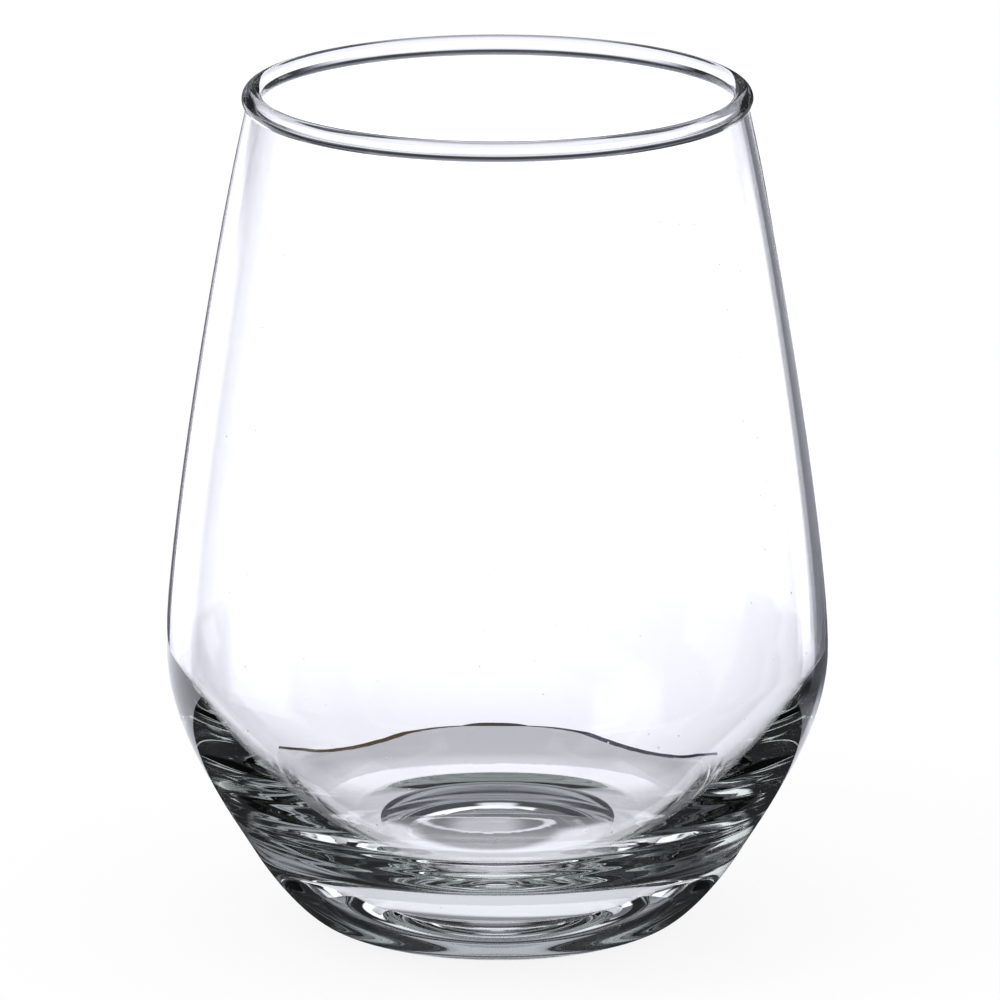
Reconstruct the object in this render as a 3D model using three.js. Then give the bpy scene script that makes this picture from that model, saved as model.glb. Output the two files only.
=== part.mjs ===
// Stemless glass tumbler: one piece of clear soda-lime glass, turned about +Z.
// Millimetres. The foot ring rests on z = 0 and the axis is x = y = 0.
import * as THREE from 'three';

// Outside: foot ring, rounded heel, leaning lower side, shoulder, upper wall
const HEIGHT = 110;
const FOOT_RADIUS = 22;
const HEEL_LEAD = 3.1;
const HEEL_TAIL = 3.6;
const SIDE_RADIUS = 31.9;
const SIDE_HEIGHT = 9.6;
const SIDE_LEAN = 31;
const SIDE_LEAD = 9.1;
const SHOULDER_RADIUS = 43;
const SHOULDER_HEIGHT = 36;
const SHOULDER_DROP = 9.9;
const SHOULDER_RISE = 12;
const NECK_RADIUS = 32.6;
const NECK_DEPTH = 4.4;
const NECK_LEAN = -13;
const NECK_TAIL = 18;

// Rim: a fire-polished bead, thicker than the wall that it closes
const BEAD_RADIUS = 1.36;
const BEAD_RING_RADIUS = 31.4;

// Inside: wall thickness at neck and shoulder, then a bowl that leaves the lower side and floor heavy
const NECK_WALL = 1;
const SHOULDER_WALL = 1.4;
const BOWL_LIFT = 1;
const BOWL_DROP = 9.5;
const KNEE_SETBACK = 5.8;
const KNEE_LIFT = 2.6;
const KNEE_LEAN = 53;
const KNEE_LEAD = 6;
const KNEE_TAIL = 8;
const FLOOR_THICKNESS = 6;
const FLOOR_FLAT = 9;

// Underside: domed recess inside the foot ring
const RECESS_RADIUS = 18;
const RECESS_DEPTH = 3;

// Mesh density along each curve and around the axis
const CURVE_STEPS = 8;
const TURN_STEPS = 60;

const GLASS = { color: 0xe9f1ec, roughness: 0.03, metalness: 0 };

// Step of the given length along a direction that leans outward from the vertical by some degrees
function leaning(degrees, length) {
  const angle = THREE.MathUtils.degToRad(degrees);
  return new THREE.Vector2(Math.sin(angle), Math.cos(angle)).multiplyScalar(length);
}

// Angle on the bead's circle where a face of the wall, carried on upward, runs into it
function meetAngle(bead, wall) {
  const upward = leaning(NECK_LEAN, 1);
  const offset = wall.clone().sub(bead);
  const along = offset.dot(upward);
  const depth = Math.max(0, along ** 2 - offset.lengthSq() + BEAD_RADIUS ** 2);
  const meeting = offset.addScaledVector(upward, -along - Math.sqrt(depth));
  return Math.atan2(meeting.y, meeting.x);
}

function curve(path, handleA, handleB, end) {
  path.bezierCurveTo(handleA.x, handleA.y, handleB.x, handleB.y, end.x, end.y);
}

// Arc of the recess, from the axis out to the foot ring's inner edge
function addUnderside(path) {
  const radius = (RECESS_RADIUS ** 2 + RECESS_DEPTH ** 2) / (2 * RECESS_DEPTH);
  const half = Math.asin(RECESS_RADIUS / radius);
  path.absarc(0, RECESS_DEPTH - radius, radius, Math.PI / 2, Math.PI / 2 - half, true);
  path.lineTo(FOOT_RADIUS, 0);
}

// Heel, lower side and upper wall, up to the neck under the bead
function addOutside(path, side, shoulder, neck) {
  const foot = new THREE.Vector2(FOOT_RADIUS, 0);
  const heelEnd = side.clone().sub(leaning(SIDE_LEAN, HEEL_TAIL));
  curve(path, foot.clone().add(leaning(90, HEEL_LEAD)), heelEnd, side);
  const sideStart = side.clone().add(leaning(SIDE_LEAN, SIDE_LEAD));
  curve(path, sideStart, shoulder.clone().sub(leaning(0, SHOULDER_DROP)), shoulder);
  const neckStart = neck.clone().sub(leaning(NECK_LEAN, NECK_TAIL));
  curve(path, shoulder.clone().add(leaning(0, SHOULDER_RISE)), neckStart, neck);
}

// Bead round the rim, from the wall's outer face over the top to its inner face
function addBead(path, neck, neckInside) {
  const bead = new THREE.Vector2(BEAD_RING_RADIUS, HEIGHT - BEAD_RADIUS);
  const start = meetAngle(bead, neck);
  const end = meetAngle(bead, neckInside) + 2 * Math.PI;
  path.absarc(bead.x, bead.y, BEAD_RADIUS, start, end, false);
  path.lineTo(neckInside.x, neckInside.y);
}

// Upper wall's inside, then the bowl past its knee, down to the middle of the floor
function addInside(path, side, shoulder, neckInside) {
  const bowl = shoulder.clone().add(new THREE.Vector2(-SHOULDER_WALL, BOWL_LIFT));
  const wallStart = neckInside.clone().sub(leaning(NECK_LEAN, NECK_TAIL));
  curve(path, wallStart, bowl.clone().add(leaning(0, SHOULDER_RISE)), bowl);
  const knee = side.clone().add(new THREE.Vector2(-KNEE_SETBACK, KNEE_LIFT));
  const kneeStart = knee.clone().add(leaning(KNEE_LEAN, KNEE_LEAD));
  curve(path, bowl.clone().sub(leaning(0, BOWL_DROP)), kneeStart, knee);
  const floor = new THREE.Vector2(0, FLOOR_THICKNESS);
  const floorEdge = new THREE.Vector2(FLOOR_FLAT, FLOOR_THICKNESS);
  curve(path, knee.clone().sub(leaning(KNEE_LEAN, KNEE_TAIL)), floorEdge, floor);
}

function glassProfile() {
  const side = new THREE.Vector2(SIDE_RADIUS, SIDE_HEIGHT);
  const shoulder = new THREE.Vector2(SHOULDER_RADIUS, SHOULDER_HEIGHT);
  const neck = new THREE.Vector2(NECK_RADIUS, HEIGHT - NECK_DEPTH);
  const neckInside = new THREE.Vector2(NECK_RADIUS - NECK_WALL, HEIGHT - NECK_DEPTH);
  const path = new THREE.Path();
  addUnderside(path);
  addOutside(path, side, shoulder, neck);
  addBead(path, neck, neckInside);
  addInside(path, side, shoulder, neckInside);
  return path.getPoints(CURVE_STEPS);
}

function glassBody() {
  const geometry = new THREE.LatheGeometry(glassProfile(), TURN_STEPS);
  geometry.rotateX(Math.PI / 2);
  const mesh = new THREE.Mesh(geometry, new THREE.MeshStandardMaterial(GLASS));
  mesh.name = 'glass_body';
  return mesh;
}

const tumbler = new THREE.Group();
tumbler.name = 'tumbler';
tumbler.add(glassBody());

export default tumbler;
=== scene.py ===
import math

import bpy
import numpy as np
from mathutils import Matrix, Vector


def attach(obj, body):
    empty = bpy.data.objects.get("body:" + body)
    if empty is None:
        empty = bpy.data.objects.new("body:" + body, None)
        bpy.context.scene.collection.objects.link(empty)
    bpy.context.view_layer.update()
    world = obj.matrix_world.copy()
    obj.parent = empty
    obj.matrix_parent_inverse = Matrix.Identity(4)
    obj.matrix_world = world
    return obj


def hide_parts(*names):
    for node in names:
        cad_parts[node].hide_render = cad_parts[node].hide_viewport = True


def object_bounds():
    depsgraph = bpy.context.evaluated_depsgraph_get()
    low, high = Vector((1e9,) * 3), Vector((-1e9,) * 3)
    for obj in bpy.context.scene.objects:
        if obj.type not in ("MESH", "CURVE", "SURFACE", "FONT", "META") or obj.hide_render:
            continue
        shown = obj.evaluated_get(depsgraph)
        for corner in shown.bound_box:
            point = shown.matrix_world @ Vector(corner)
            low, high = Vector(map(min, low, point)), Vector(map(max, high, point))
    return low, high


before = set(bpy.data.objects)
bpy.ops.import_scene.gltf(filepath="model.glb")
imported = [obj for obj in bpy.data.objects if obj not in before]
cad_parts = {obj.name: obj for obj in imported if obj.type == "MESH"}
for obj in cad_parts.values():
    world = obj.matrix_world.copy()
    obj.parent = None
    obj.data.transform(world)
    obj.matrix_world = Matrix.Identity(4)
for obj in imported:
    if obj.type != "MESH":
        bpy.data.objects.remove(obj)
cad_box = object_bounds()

MM = 0.001

# Profile of the glass in millimetres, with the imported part's sizes
HEIGHT = cad_box[1].z / MM
FOOT_RADIUS, HEEL_LEAD, HEEL_TAIL = 22.0, 3.1, 3.6
SIDE_RADIUS, SIDE_HEIGHT, SIDE_LEAN, SIDE_LEAD = 31.9, 9.6, 31.0, 9.1
SHOULDER_RADIUS, SHOULDER_HEIGHT, SHOULDER_DROP, SHOULDER_RISE = 43.0, 36.0, 9.9, 12.0
NECK_RADIUS, NECK_DEPTH, NECK_LEAN, NECK_TAIL = 32.6, 4.4, -13.0, 18.0
BEAD_RADIUS, BEAD_RING_RADIUS = 1.36, 31.4
NECK_WALL, SHOULDER_WALL, BOWL_LIFT, BOWL_DROP = 1.0, 1.4, 1.0, 9.5
KNEE_SETBACK, KNEE_LIFT, KNEE_LEAN, KNEE_LEAD, KNEE_TAIL = 5.8, 2.6, 53.0, 6.0, 8.0
FLOOR_THICKNESS, FLOOR_FLAT = 6.0, 9.0
RECESS_RADIUS, RECESS_DEPTH = 18.0, 3.0

# Steps along each curve and round the axis. Edges that bend by more than the crease stay sharp
RECESS_STEPS, FOOT_STEPS, HEEL_STEPS, SIDE_STEPS, WALL_STEPS = 26, 6, 30, 30, 20
BEAD_STEPS, BOWL_STEPS, FLOOR_STEPS = 37, 90, 36
BOWL_KNOT = 0.62
TURN_STEPS = 320
CREASE = 12.0

# Chill marks low in the bowl: height in millimetres, where they fade in and out, radians per millimetre
RIPPLE = 0.009
RIPPLE_FROM, RIPPLE_TO, RIPPLE_SIDE = (8.5, 10.5), (17.0, 20.0), (-0.2, 0.6)
FINE_WAVE, FINE_SHARE = 6.3, 0.4
COARSE_WAVE, COARSE_SHARE = 3.4, 1.6

# Glass: soda-lime index, faint green-grey where it is thick, specks of dust
GLASS_IOR = 1.52
GLASS_TINT = (0.84, 0.90, 0.83, 1.0)
GLASS_DENSITY = 11.0
DUST_SCALE, DUST_FROM, DUST_TO, DUST_ROUGHNESS = 260.0, 0.03, 0.045, 0.55

# Photograph's frame: metres per pixel at the axis, viewing distance in pixels, height and aim
PIXEL = 0.12926 * MM
VIEW_DISTANCE = 10500
VIEW_ELEVATION = 14.8
AIM_RIGHT, AIM_UP = 2.5, 427.91
FRAME_WIDTH = 1000
SENSOR = 36.0

# Soft lamp, in metres, and the pale ground under the glass
SOFTBOX_AT, SOFTBOX_SIZE, SOFTBOX_POWER = (-0.5, -0.3, 0.9), 0.5, 1.5
GROUND_RADIUS, GROUND_MATT, GROUND_OWN = 2.5, 0.12, 0.88
ROUND_STEPS = 96

# Studio round the glass, seen by the glass only: azimuth from behind (left is positive), half width,
# fade, elevations where the card begins and is full, where it begins to end and is gone, level.
# A later card covers an earlier one
DOME_RADIUS, DOME_END = 0.9, 89.9
DOME_DARK = 0.02
DOME_TINT, DIM_TINT, DIM_FADE = (0.96, 0.965, 1.055), (0.93, 0.95, 1.1), (0.3, 1.0)
CARDS = (
    (0, 180, 1, 70, 76, 95, 96, 0.2),
    (0, 60, 8, -96, -95, -23, -19, 0.45),
    (75, 20, 8, 5, 15, 35, 45, 0.12),
    (-75, 20, 8, 5, 15, 35, 45, 0.5),
    (180, 70, 20, 50, 56, 68, 74, 0.6),
    (12, 36, 4, -62, -36, -6, -2, 1.08),
    (0, 4, 4, -26, -12, 4, 14, 1.1),
    (24, 24, 3, -26, -12, -6, -2, 1.5),
    (0, 14, 2, -26, -12, -8, -2, 1.5),
    (-27.5, 12, 2, -22, -18, -5, -1, 0.2),
    (-45, 5, 2, -18, -14, -5, -1, 1.5),
    (0, 3, 3, 8, 14, 26, 32, 0.06),
    (0, 8, 6, 22, 30, 50, 56, 0.25),
    (0, 10, 6, 36, 46, 68, 74, 0.5),
    (0, 40, 6, 50, 56, 70, 76, 0.5),
    (27, 10, 3, -60, -50, -31, -28, 0.05),
    (-27, 10, 3, -60, -50, -31, -28, 0.05),
    (45, 8, 4, -50, -40, -19, -15, 1.25),
    (90, 12, 5, -50, -26, 1, 5, 1.25),
    (133, 16, 4, 16, 20, 23, 27, 1.0),
    (-133, 16, 4, 16, 20, 23, 27, 1.0),
    (-135, 10, 5, -60, -36, -11, -7, 1.25),
)

# Dark flags that only the gloss of the glass sees: azimuth, half width, lowest and highest elevation, level
FLAG_RADIUS, FLAG_POINTS = 0.85, 9
FLAGS = (
    (13.5, 8.5, -16, 16, 0.22),
    (-13.5, 8.5, -9, 16, 0.02),
)

# Table top under the glass, seen by the glass only, in millimetres: its extent and its peaked far edge
TABLE_DROP = 0.3
TABLE_NEAR, TABLE_STEP, TABLE_ROWS = -45.0, 0.5, 240
PEAK_BASE, PEAK_RISE, PEAK_WIDTH, PEAK_POWER = 18.0, 48.0, 15.9, 3
PEAK_TILT, PEAK_HALF = 0.06, 33.5
RIM_SHADE = 1.4
RIM_LEFT, RIM_RIGHT = (0.10, 0.07, 0.045), (0.045, 0.05, 0.075)

# Light on the table: grey top, lighter near the foot and at the sides, and a bright arch behind the foot
TOP_LEVEL, NEAR_GAIN, NEAR_FADE = 0.6, 0.2, (28.0, 34.0)
SIDE_LEVEL, SIDE_FADE = 0.95, 7.0
ARCH_LEVEL, ARCH_FADE, ARCH_OUTER = 1.15, (6.0, 14.0), 27.0
FOOT_GLOW, FOOT_OUTER = 0.8, 22.5

# Light under the recess: painted shade at the back, lighter at the front, and a painted bright oval ring
# with a lighter fill inside it
SHADE_LEVEL, BACK_FADE = 0.22, (-2.0, 2.0)
FRONT_LEVEL, FRONT_STRETCH, FRONT_FADE = 0.3, 1.25, (8.0, 11.0)
OVAL_GLOW_X, OVAL_GLOW_Y, OVAL_GLOW_HALF, OVAL_GLOW_DEEP, OVAL_GLOW_LINE = -2.0, 5.5, 11.0, 5.0, 0.09
OVAL_GLOW_LEVEL, OVAL_GLOW_FILL, FILL_FADE = 1.0, 0.65, (3.0, 8.0)

# Dark card round the foot, a painted dark reflection that only the gloss of the lower side shows, in
# millimetres
DARK_GLOSS_INNER, DARK_GLOSS_OUTER, DARK_GLOSS_BACK = 23.0, 150.0, 42.0


def point(r, z):
    return np.array([r, z], float)


def leaning(degrees, length):
    """Step of some length that leans outward from the vertical."""
    angle = math.radians(degrees)
    return point(math.sin(angle) * length, math.cos(angle) * length)


def smooth(x, low, high):
    t = np.clip((np.asarray(x, float) - low) / (high - low), 0, 1)
    return t * t * (3 - 2 * t)


def bezier(a, b, c, d, steps, knot=0.5):
    """Points along a curve, half of the steps on each side of the knot."""
    t = np.interp(np.linspace(0, 1, steps + 1), [0, 0.5, 1], [0, knot, 1])[:, None]
    return (1 - t) ** 3 * a + 3 * (1 - t) ** 2 * t * b + 3 * (1 - t) * t * t * c + t ** 3 * d


def meet_angle(bead, wall):
    """Angle on the bead's circle where a face of the wall, carried on upward, runs into it."""
    upward = leaning(NECK_LEAN, 1)
    offset = wall - bead
    along = offset @ upward
    depth = max(0.0, along ** 2 - offset @ offset + BEAD_RADIUS ** 2)
    meeting = offset + upward * (-along - math.sqrt(depth))
    return math.atan2(meeting[1], meeting[0])


def underside():
    radius = (RECESS_RADIUS ** 2 + RECESS_DEPTH ** 2) / (2 * RECESS_DEPTH)
    angle = np.linspace(0, math.asin(RECESS_RADIUS / radius), RECESS_STEPS + 1)
    arc = np.stack([radius * np.sin(angle), RECESS_DEPTH - radius + radius * np.cos(angle)], 1)
    ring = np.linspace(RECESS_RADIUS, FOOT_RADIUS, FOOT_STEPS + 1)[1:-1]
    return np.concatenate([arc, np.stack([ring, 0 * ring], 1)])


def outside(side, shoulder, neck):
    foot = point(FOOT_RADIUS, 0)
    heel_end = side - leaning(SIDE_LEAN, HEEL_TAIL)
    heel = bezier(foot, foot + leaning(90, HEEL_LEAD), heel_end, side, HEEL_STEPS)
    side_start = side + leaning(SIDE_LEAN, SIDE_LEAD)
    lower = bezier(side, side_start, shoulder - point(0, SHOULDER_DROP), shoulder, SIDE_STEPS)
    neck_start = neck - leaning(NECK_LEAN, NECK_TAIL)
    upper = bezier(shoulder, shoulder + point(0, SHOULDER_RISE), neck_start, neck, WALL_STEPS)
    return np.concatenate([heel[:-1], lower[:-1], upper])


def bead_round(neck, neck_inside):
    bead = point(BEAD_RING_RADIUS, HEIGHT - BEAD_RADIUS)
    start, end = meet_angle(bead, neck), meet_angle(bead, neck_inside) + 2 * math.pi
    angle = np.linspace(start, end, BEAD_STEPS + 1)
    return bead + BEAD_RADIUS * np.stack([np.cos(angle), np.sin(angle)], 1)


def inside(side, shoulder, neck_inside):
    bowl = shoulder + point(-SHOULDER_WALL, BOWL_LIFT)
    knee = side + point(-KNEE_SETBACK, KNEE_LIFT)
    centre = point(0, FLOOR_THICKNESS)
    wall_start = neck_inside - leaning(NECK_LEAN, NECK_TAIL)
    wall = bezier(neck_inside, wall_start, bowl + point(0, SHOULDER_RISE), bowl, WALL_STEPS)
    knee_start = knee + leaning(KNEE_LEAN, KNEE_LEAD)
    down = bezier(bowl, bowl - point(0, BOWL_DROP), knee_start, knee, BOWL_STEPS, BOWL_KNOT)
    knee_end = knee - leaning(KNEE_LEAN, KNEE_TAIL)
    floor = bezier(knee, knee_end, centre + point(FLOOR_FLAT, 0), centre, FLOOR_STEPS)
    return np.concatenate([wall[:-1], down[:-1], floor])


def profile():
    """Whole profile, and how many of its points come before the inside."""
    side = point(SIDE_RADIUS, SIDE_HEIGHT)
    shoulder = point(SHOULDER_RADIUS, SHOULDER_HEIGHT)
    neck = point(NECK_RADIUS, HEIGHT - NECK_DEPTH)
    neck_inside = neck - point(NECK_WALL, 0)
    outer = np.concatenate([underside(), outside(side, shoulder, neck), bead_round(neck, neck_inside)])
    inner = inside(side, shoulder, neck_inside)
    return np.concatenate([outer, inner]), len(outer)


def ripple(z, turn):
    """Chill marks round the low part of the hot-formed bowl, on the side that faces the camera."""
    height = smooth(z, *RIPPLE_FROM) * (1 - smooth(z, *RIPPLE_TO))
    strength = height * smooth(-np.sin(turn), *RIPPLE_SIDE)
    fine = np.sin(FINE_WAVE * z + 0.5 * np.sin(2 * turn + 0.7))
    coarse = np.sin(COARSE_WAVE * z + 0.8 * np.sin(3 * turn))
    return RIPPLE * strength * (FINE_SHARE * fine + COARSE_SHARE * coarse)


def lathe_faces(rings, steps):
    last = 1 + rings * steps
    turn = np.arange(steps)
    follow = (turn + 1) % steps
    start = np.arange(rings - 1)[:, None] * steps + 1
    quads = np.stack([start + turn, start + follow, start + follow + steps, start + turn + steps], 2)
    top = last - steps
    fans = [(0, 1 + b, 1 + a) for a, b in zip(turn, follow)]
    fans += [(last, top + a, top + b) for a, b in zip(turn, follow)]
    return quads.reshape(-1, 4).tolist() + [tuple(map(int, f)) for f in fans]


def glass_mesh():
    points, inner_from = profile()
    tangent = np.gradient(points, axis=0)
    normal = np.stack([tangent[:, 1], -tangent[:, 0]], 1) / np.linalg.norm(tangent, axis=1)[:, None]
    turn = np.arange(TURN_STEPS) * 2 * math.pi / TURN_STEPS
    rows = points[1:-1, None, :].repeat(TURN_STEPS, 1)
    push = ripple(rows[..., 1], turn) * (np.arange(1, len(points) - 1) >= inner_from)[:, None]
    rows = rows + push[..., None] * normal[1:-1, None, :]
    ring = np.stack([rows[..., 0] * np.cos(turn), rows[..., 0] * np.sin(turn), rows[..., 1]], 2)
    ends = [(0, 0, points[0, 1]), (0, 0, points[-1, 1])]
    verts = np.concatenate([[ends[0]], ring.reshape(-1, 3), [ends[1]]]) * MM
    mesh = bpy.data.meshes.new("glass_body_fine")
    mesh.from_pydata(verts.tolist(), [], lathe_faces(len(points) - 2, TURN_STEPS))
    mesh.polygons.foreach_set("use_smooth", [True] * len(mesh.polygons))
    mesh.set_sharp_from_angle(angle=math.radians(CREASE))
    mesh.update()
    return mesh


def new_material(name):
    material = bpy.data.materials.new(name)
    material.use_nodes = True
    material.node_tree.nodes.clear()
    return material, material.node_tree.nodes, material.node_tree.links


def glass_material():
    """Clear glass: smooth apart from specks of dust, with absorption by thickness."""
    material, nodes, links = new_material("clear_glass")
    output = nodes.new("ShaderNodeOutputMaterial")
    glass = nodes.new("ShaderNodeBsdfPrincipled")
    glass.inputs["Base Color"].default_value = (1, 1, 1, 1)
    glass.inputs["Transmission Weight"].default_value = 1.0
    glass.inputs["IOR"].default_value = GLASS_IOR
    place = nodes.new("ShaderNodeTexCoord")
    dust = nodes.new("ShaderNodeTexVoronoi")
    dust.inputs["Scale"].default_value = DUST_SCALE
    speck = nodes.new("ShaderNodeMapRange")
    speck.inputs["From Min"].default_value = DUST_FROM
    speck.inputs["From Max"].default_value = DUST_TO
    speck.inputs["To Min"].default_value = DUST_ROUGHNESS
    speck.inputs["To Max"].default_value = 0.0
    links.new(place.outputs["Object"], dust.inputs["Vector"])
    links.new(dust.outputs["Distance"], speck.inputs["Value"])
    links.new(speck.outputs["Result"], glass.inputs["Roughness"])
    tint = nodes.new("ShaderNodeVolumeAbsorption")
    tint.inputs["Color"].default_value = GLASS_TINT
    tint.inputs["Density"].default_value = GLASS_DENSITY
    links.new(glass.outputs["BSDF"], output.inputs["Surface"])
    links.new(tint.outputs["Volume"], output.inputs["Volume"])
    return material


def add_object(name, data):
    obj = bpy.data.objects.new(name, data)
    bpy.context.scene.collection.objects.link(obj)
    return obj


def add_glass():
    mesh = glass_mesh()
    mesh.materials.append(glass_material())
    piece = add_object("glass_body_fine", mesh)
    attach(piece, "root")
    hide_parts("glass_body")


def light_card_material():
    """Plain light whose colour the mesh carries, and which isn't a lamp."""
    material, nodes, links = new_material("light_card")
    output = nodes.new("ShaderNodeOutputMaterial")
    light = nodes.new("ShaderNodeEmission")
    level = nodes.new("ShaderNodeAttribute")
    level.attribute_name = "light"
    links.new(level.outputs["Color"], light.inputs["Color"])
    links.new(light.outputs["Emission"], output.inputs["Surface"])
    material.cycles.emission_sampling = "NONE"
    return material


def add_card(name, verts, faces, colours, material):
    """A studio card that only the glass sees, through it or in its gloss."""
    mesh = bpy.data.meshes.new(name)
    mesh.from_pydata(verts.tolist(), [], faces.tolist())
    rgba = np.ones((len(verts), 4))
    rgba[:, :3] = colours
    mesh.attributes.new("light", "FLOAT_COLOR", "POINT").data.foreach_set("color", rgba.ravel())
    mesh.materials.append(material)
    card = add_object(name, mesh)
    card.visible_camera = card.visible_diffuse = card.visible_shadow = False
    return card


def grid_faces(rows, columns, closed=False):
    j = np.arange(columns - 1)
    i = np.arange(rows if closed else rows - 1)[:, None]
    k = (i + 1) % rows
    quads = np.stack([i * columns + j, k * columns + j, k * columns + j + 1, i * columns + j + 1], 2)
    return quads.reshape(-1, 4)


def studio_light(azimuth, elevation):
    light = np.full(azimuth.shape, DOME_DARK)
    for middle, half, fade, low, full, ending, gone, level in CARDS:
        off = np.abs((azimuth - middle + 180) % 360 - 180)
        across = 1 - smooth(off, half, half + fade)
        upward = smooth(elevation, low, full) * (1 - smooth(elevation, ending, gone))
        light = light + (level - light) * across * upward
    return light


def tinted(light):
    """Lavender light, bluer where it is dim."""
    bright = smooth(light, *DIM_FADE)[..., None]
    return light[..., None] * (np.array(DOME_TINT) * bright + np.array(DIM_TINT) * (1 - bright))


def sky_grid(azimuth, elevation, radius):
    az, el = np.meshgrid(azimuth, elevation, indexing="ij")
    a, e = np.radians(90 + az), np.radians(el)
    xyz = np.stack([np.cos(a) * np.cos(e), np.sin(a) * np.cos(e), np.sin(e)], 2) * radius
    xyz[..., 2] += HEIGHT / 2 * MM
    return az, el, xyz.reshape(-1, 3)


def add_dome(material):
    elevation = np.linspace(-DOME_END, DOME_END, 181)
    az, el, xyz = sky_grid(np.arange(0, 360, 1.0), elevation, DOME_RADIUS)
    colours = tinted(studio_light(az, el).ravel())
    add_card("studio_dome", xyz, grid_faces(*az.shape, closed=True), colours, material)


def add_flags(material):
    for number, (middle, half, low, high, level) in enumerate(FLAGS, 1):
        azimuth = np.linspace(middle - half, middle + half, FLAG_POINTS)
        az, _, xyz = sky_grid(azimuth, np.linspace(low, high, FLAG_POINTS), FLAG_RADIUS)
        colours = tinted(np.full(az.size, level))
        flag = add_card(f"flag_{number}", xyz, grid_faces(*az.shape), colours, material)
        flag.visible_transmission = False


def recess_light(x, y):
    """Shaded at the back, open at the front, with a painted bright oval ring of light."""
    back = smooth(y, *BACK_FADE)
    off = np.abs(x - OVAL_GLOW_X)
    front = FRONT_LEVEL + (1 - FRONT_LEVEL) * smooth(np.hypot(off / FRONT_STRETCH, y), *FRONT_FADE)
    light = SHADE_LEVEL * back + front * (1 - back)
    # Painted bright oval ring of light, and its lighter fill
    ring = np.hypot(off / OVAL_GLOW_HALF, (y - OVAL_GLOW_Y) / OVAL_GLOW_DEEP)
    light = np.where(ring < 1, light + (OVAL_GLOW_FILL - light) * (1 - smooth(off, *FILL_FADE)), light)
    return np.where(np.abs(ring - 1) < OVAL_GLOW_LINE, OVAL_GLOW_LEVEL, light)


def far_edge(x):
    """Where the table ends behind the glass, and its length per millimetre across."""
    bend = np.abs(x / PEAK_WIDTH) ** PEAK_POWER
    edge = PEAK_BASE + PEAK_RISE / (1 + bend) - PEAK_TILT * x
    steep = PEAK_POWER * PEAK_RISE * bend / (1 + bend) ** 2 / np.maximum(np.abs(x), 0.1)
    return edge, np.hypot(1, steep)


def table_light(x, y):
    """Rings round the foot, then a grey top with a dark far edge."""
    r = np.hypot(x, y)
    light = TOP_LEVEL + NEAR_GAIN * (1 - smooth(r, *NEAR_FADE))
    light = light + (SIDE_LEVEL - light) * smooth(np.abs(x), PEAK_HALF - SIDE_FADE, PEAK_HALF)
    light = np.where(r < ARCH_OUTER, light + (ARCH_LEVEL - light) * smooth(y, *ARCH_FADE), light)
    light = np.where(r < FOOT_OUTER, FOOT_GLOW, light)
    light = np.where(r < RECESS_RADIUS, recess_light(x, y), light)
    colour = light[..., None] * np.array(DOME_TINT)
    across = smooth(x, -PEAK_WIDTH, PEAK_WIDTH)[..., None]
    shade = np.array(RIM_LEFT) * (1 - across) + np.array(RIM_RIGHT) * across
    edge, length = far_edge(x)
    return np.where((edge - y < RIM_SHADE * length)[..., None], shade, colour)


def add_table(material):
    across = np.arange(-PEAK_HALF, PEAK_HALF + TABLE_STEP / 2, TABLE_STEP)
    x, share = np.meshgrid(across, np.linspace(0, 1, TABLE_ROWS), indexing="ij")
    y = TABLE_NEAR + share * (far_edge(x)[0] - TABLE_NEAR)
    xyz = np.stack([x, y, np.full(x.shape, -TABLE_DROP)], 2) * MM
    colours = table_light(x, y).reshape(-1, 3)
    table = add_card("table_top", xyz.reshape(-1, 3), grid_faces(*x.shape), colours, material)
    table.visible_glossy = False


def add_dark_gloss_card(material):
    """Dark card round the foot: a painted dark reflection, which shows in the gloss of the lower side only.
    """
    turn = np.linspace(0, 2 * math.pi, ROUND_STEPS, endpoint=False)
    outer = np.minimum(DARK_GLOSS_OUTER, DARK_GLOSS_BACK / np.maximum(np.sin(turn), 0.01))
    r, a = np.stack([np.full(ROUND_STEPS, DARK_GLOSS_INNER), outer], 1), turn[:, None]
    xyz = np.stack([r * np.cos(a), r * np.sin(a), np.full(r.shape, -TABLE_DROP / 2)], 2) * MM
    # Painted dark reflection, at the dome's dark level
    colours = np.full((r.size, 3), DOME_DARK)
    faces = grid_faces(*r.shape, closed=True)
    skirt = add_card("dark_gloss_card", xyz.reshape(-1, 3), faces, colours, material)
    skirt.visible_transmission = False


def ground_material():
    material, nodes, links = new_material("pale_floor")
    output = nodes.new("ShaderNodeOutputMaterial")
    both = nodes.new("ShaderNodeAddShader")
    matt = nodes.new("ShaderNodeBsdfDiffuse")
    matt.inputs["Color"].default_value = (GROUND_MATT, GROUND_MATT, GROUND_MATT, 1)
    own = nodes.new("ShaderNodeEmission")
    own.inputs["Color"].default_value = (GROUND_OWN, GROUND_OWN, GROUND_OWN, 1)
    links.new(matt.outputs["BSDF"], both.inputs[0])
    links.new(own.outputs["Emission"], both.inputs[1])
    links.new(both.outputs["Shader"], output.inputs["Surface"])
    material.cycles.emission_sampling = "NONE"
    return material


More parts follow.
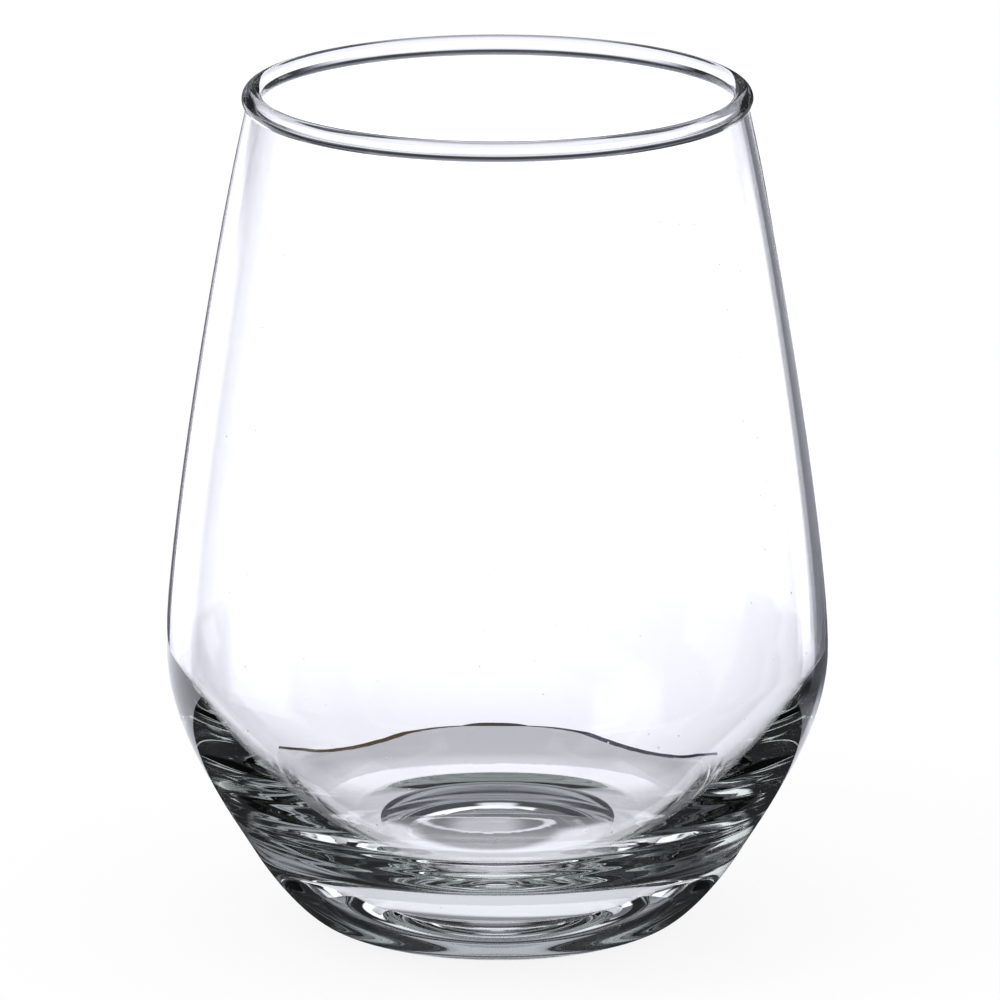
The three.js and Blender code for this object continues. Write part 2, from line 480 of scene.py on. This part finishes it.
def add_floor():
    """Pale floor: its own white with the object's soft shadow, and the white world beyond it."""
    angle = np.linspace(0, 2 * math.pi, ROUND_STEPS, endpoint=False)
    drop = np.full(ROUND_STEPS, -2 * TABLE_DROP * MM)
    rim = np.stack([GROUND_RADIUS * np.cos(angle), GROUND_RADIUS * np.sin(angle), drop], 1)
    mesh = bpy.data.meshes.new("floor")
    mesh.from_pydata(rim.tolist(), [], [list(range(ROUND_STEPS))])
    mesh.materials.append(ground_material())
    floor = add_object("floor", mesh)
    floor.visible_glossy = floor.visible_transmission = False


def add_camera():
    elevation = math.radians(VIEW_ELEVATION)
    aim = Vector((AIM_RIGHT * PIXEL, 0, AIM_UP * PIXEL))
    back = Vector((0, -math.cos(elevation), math.sin(elevation)))
    data = bpy.data.cameras.new("camera")
    data.sensor_width = SENSOR
    data.lens = SENSOR * VIEW_DISTANCE / FRAME_WIDTH
    data.clip_start = 0.01
    camera = add_object("camera", data)
    camera.location = aim + back * VIEW_DISTANCE * PIXEL
    camera.rotation_euler = back.to_track_quat("Z", "Y").to_euler()
    bpy.context.scene.camera = camera


def add_light():
    world = bpy.data.worlds.new("white")
    world.use_nodes = True
    world.node_tree.nodes["Background"].inputs["Color"].default_value = (1, 1, 1, 1)
    world.node_tree.nodes["Background"].inputs["Strength"].default_value = 1.0
    bpy.context.scene.world = world
    lamp = bpy.data.lights.new("softbox", "AREA")
    lamp.size = SOFTBOX_SIZE
    lamp.energy = SOFTBOX_POWER
    softbox = add_object("softbox", lamp)
    softbox.location = SOFTBOX_AT
    softbox.rotation_euler = Vector(SOFTBOX_AT).to_track_quat("Z", "Y").to_euler()
    softbox.visible_glossy = softbox.visible_transmission = False


add_camera()
add_light()
add_glass()
card_light = light_card_material()
add_dome(card_light)
add_flags(card_light)
add_table(card_light)
add_dark_gloss_card(card_light)
add_floor()

scene = bpy.context.scene
scene.view_settings.view_transform = "Standard"
scene.cycles.max_bounces = 48
scene.cycles.transmission_bounces = 32
scene.cycles.glossy_bounces = 40
